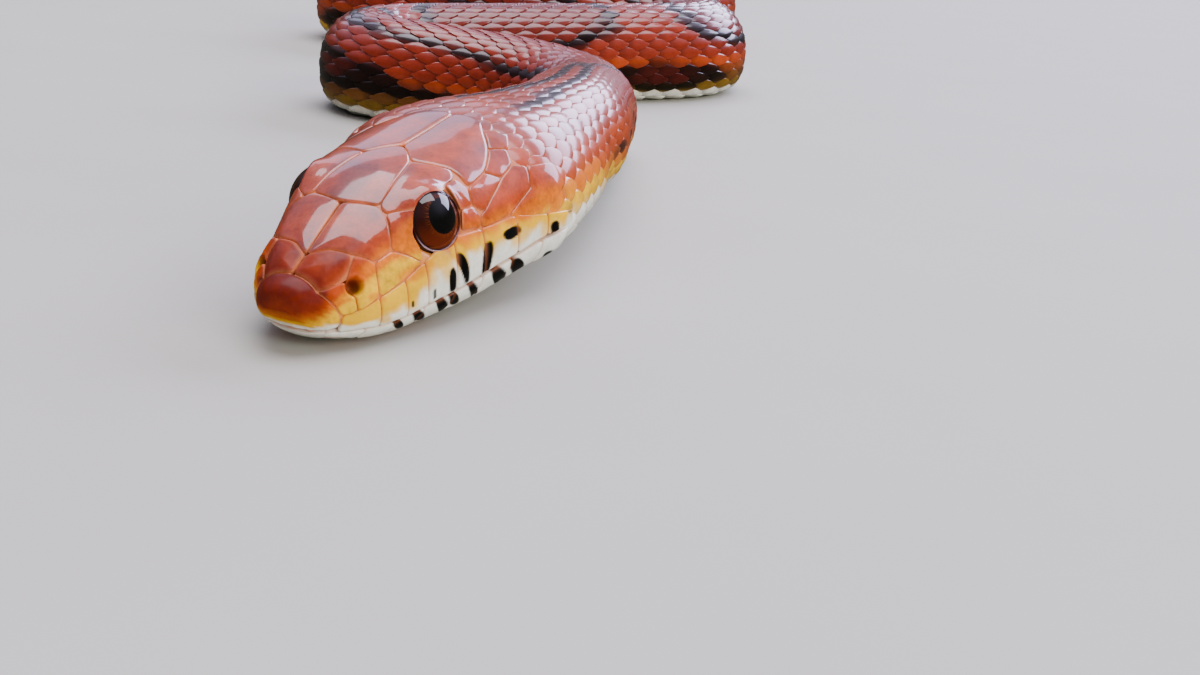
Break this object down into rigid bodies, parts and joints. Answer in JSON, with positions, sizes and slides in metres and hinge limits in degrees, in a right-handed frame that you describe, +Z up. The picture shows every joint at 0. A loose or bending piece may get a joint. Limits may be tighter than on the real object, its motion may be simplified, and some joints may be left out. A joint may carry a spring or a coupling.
{
  "type": "corn snake",
  "caption": "A life-size corn snake at rest, its head and neck reaching forward from two tight bends and the body laid in a loose coil behind.",
  "frame": {"origin": "on the floor, under the middle of the box round the whole snake", "axes": "+Z up from the floor; +Y from the snout towards the coil, along the longest side of the box; +X to the right of someone who faces along +Y"},
  "size_m": [0.1538, 0.4802, 0.0198],
  "materials": {
    "head_skin": "satin",
    "jaw_skin": "satin",
    "body_skin": "satin",
    "eye": "gloss"
  },
  "bodies": {
    "root": {"head": "head_skin", "lower_jaw": "jaw_skin", "eye_left": "eye", "eye_right": "eye", "neck": "body_skin", "forebody_1": "body_skin", "forebody_2": "body_skin", "forebody_3": "body_skin", "midbody_1": "body_skin", "midbody_2": "body_skin", "midbody_3": "body_skin", "midbody_4": "body_skin", "midbody_5": "body_skin", "hindbody_1": "body_skin", "hindbody_2": "body_skin", "hindbody_3": "body_skin", "tail_base": "body_skin", "tail_tip": "body_skin"}
  },
  "joints": []
}
